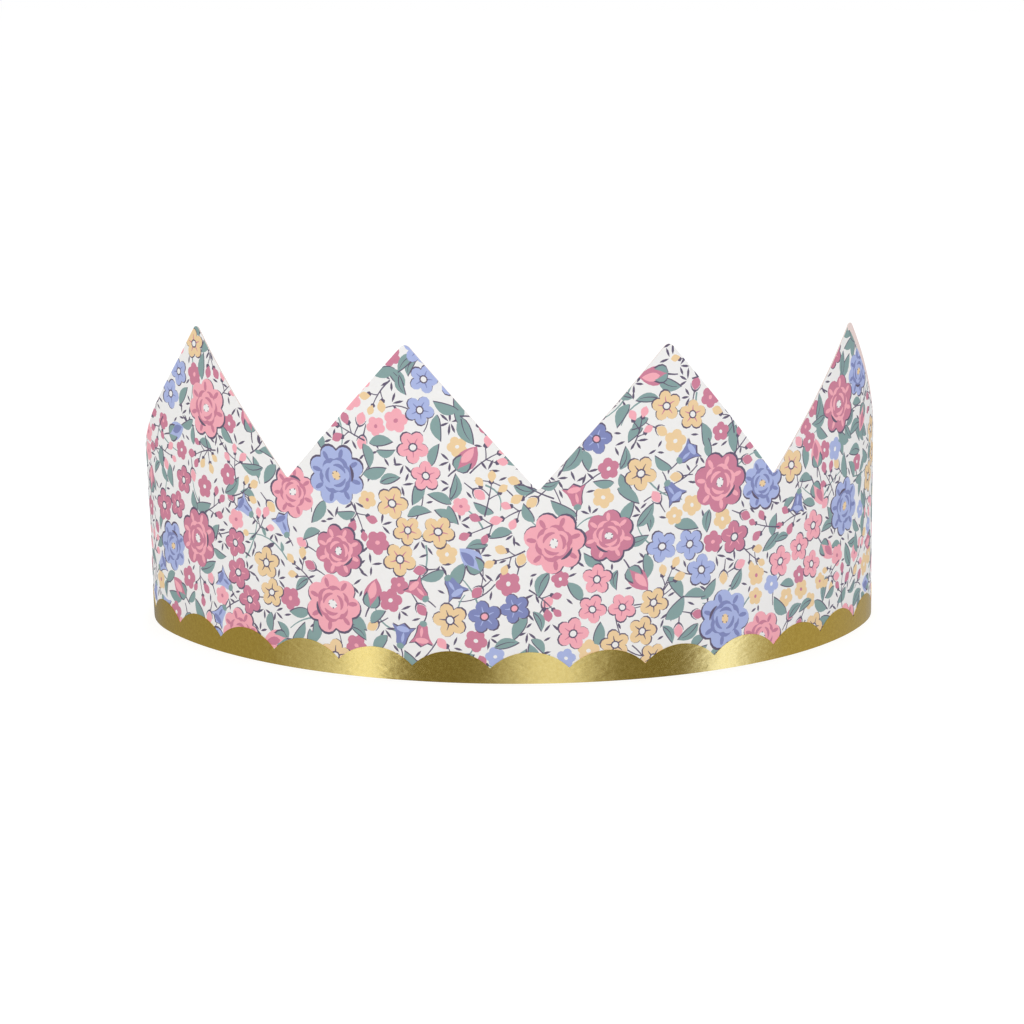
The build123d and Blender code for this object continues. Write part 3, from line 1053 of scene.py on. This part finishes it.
def studio_mesh(name, corners, faces, material):
    """A piece of the studio, which is no part of the crown."""
    mesh = bpy.data.meshes.new(name)
    mesh.from_pydata(corners, [], faces)
    mesh.materials.append(material)
    thing = bpy.data.objects.new(name, mesh)
    bpy.context.scene.collection.objects.link(thing)
    return thing


def in_view(p):
    """1 for a ray that shows a thing itself, in a mirror or through glass, else 0."""
    share = 0.0
    for kind in ("Is Camera Ray", "Is Glossy Ray", "Is Transmission Ray"):
        ray = p.add("ShaderNodeLightPath", output=kind)
        share = p.add("ShaderNodeMath", {"operation": "MAXIMUM"}, _0=share, _1=ray)
    return share


def floor_material():
    """White paper that shows white to the camera and keeps the crown's soft shadow."""
    p = Paint("white_floor")
    glowing = p.add("ShaderNodeEmission", Color=WHITE, Strength=FLOOR_GLOW)
    lit = p.add("ShaderNodeBsdfDiffuse", Color=FLOOR_WHITE)
    share = FLOOR_GLOW_SHARE * in_view(p)
    return p.finish(p.add("ShaderNodeMixShader", Fac=share, _1=lit, _2=glowing))


square = ((-1, -1), (1, -1), (1, 1), (-1, 1))
floor_corners = [(x * FLOOR_REACH, y * FLOOR_REACH, 0) for x, y in square]
floor = studio_mesh("floor", floor_corners, [(0, 1, 2, 3)], floor_material())
floor.visible_glossy = False      # the foil mirrors the ring of cards there

room = Paint("studio", world=True)
bpy.context.scene.world = room.material
room_light = room.add("ShaderNodeBackground", Color=WHITE, Strength=WORLD_STRENGTH)
backdrop = room.add("ShaderNodeBackground", Color=WHITE, Strength=1.0)
room.finish(room.add("ShaderNodeMixShader", Fac=in_view(room), _1=room_light, _2=backdrop))


def glow_at(heading):
    """Light of the ring of cards at a heading seen from the crown, as a colour."""
    glow = np.array(PLAIN) * RING_GREY
    for start, full, fade, stop, strength, tint in RING_LIGHTS:
        rise = (heading - start) / (full - start)
        fall = (stop - heading) / (stop - fade)
        glow += np.array(tint) * strength * min(max(min(rise, fall), 0), 1)
    return (*glow, 1.0)


def ring_of_cards():
    """Grey and white cards that stand round the crown for its foil to mirror."""
    p = Paint("foil_cards")
    glow = p.add("ShaderNodeAttribute", {"attribute_name": "glow"})
    p.finish(p.add("ShaderNodeEmission", Color=glow, Strength=1.0))
    headings = range(-180, 180, RING_STEP)
    corners = []
    for heading in headings:
        x, y = RING_RADIUS * math.sin(rad(heading)), -RING_RADIUS * math.cos(rad(heading))
        corners += [(x, y, RING_BOTTOM), (x, y, RING_TOP)]
    count = len(corners)
    faces = [(n, (n + 2) % count, (n + 3) % count, n + 1) for n in range(0, count, 2)]
    ring = studio_mesh("foil_cards", corners, faces, p.material)
    colours = ring.data.attributes.new("glow", "FLOAT_COLOR", "FACE")
    values = [glow_at(heading + RING_STEP / 2) for heading in headings]
    colours.data.foreach_set("color", np.ravel(values))
    ring.visible_camera = False
    ring.visible_diffuse = False
    ring.visible_shadow = False
    ring.visible_transmission = False


def lamp(name, place):
    """A soft square light that the foil doesn't mirror."""
    data = bpy.data.lights.new(name, "AREA")
    data.shape = "SQUARE"
    data.size = LAMP_SIDE
    data.energy = LAMP_POWER
    thing = bpy.data.objects.new(name, data)
    thing.location = place
    thing.visible_glossy = False
    aim = Vector(LAMP_TARGET) - Vector(place)
    thing.rotation_euler = aim.to_track_quat("-Z", "Y").to_euler()
    bpy.context.scene.collection.objects.link(thing)


ring_of_cards()
for name, place in LAMPS.items():
    lamp(name, place)

camera_data = bpy.data.cameras.new("camera")
camera_data.sensor_width = SENSOR_WIDTH
camera_data.lens = LENS
camera = bpy.data.objects.new("camera", camera_data)
camera.location = (-CAMERA_LEFT * MM, (front_y - CAMERA_BEFORE) * MM, CAMERA_HEIGHT * MM)
camera.rotation_euler = (rad(90 - CAMERA_DOWN), rad(CAMERA_ROLL), rad(CAMERA_TURN))
bpy.context.scene.collection.objects.link(camera)
bpy.context.scene.camera = camera
bpy.context.scene.view_settings.view_transform = "Standard"
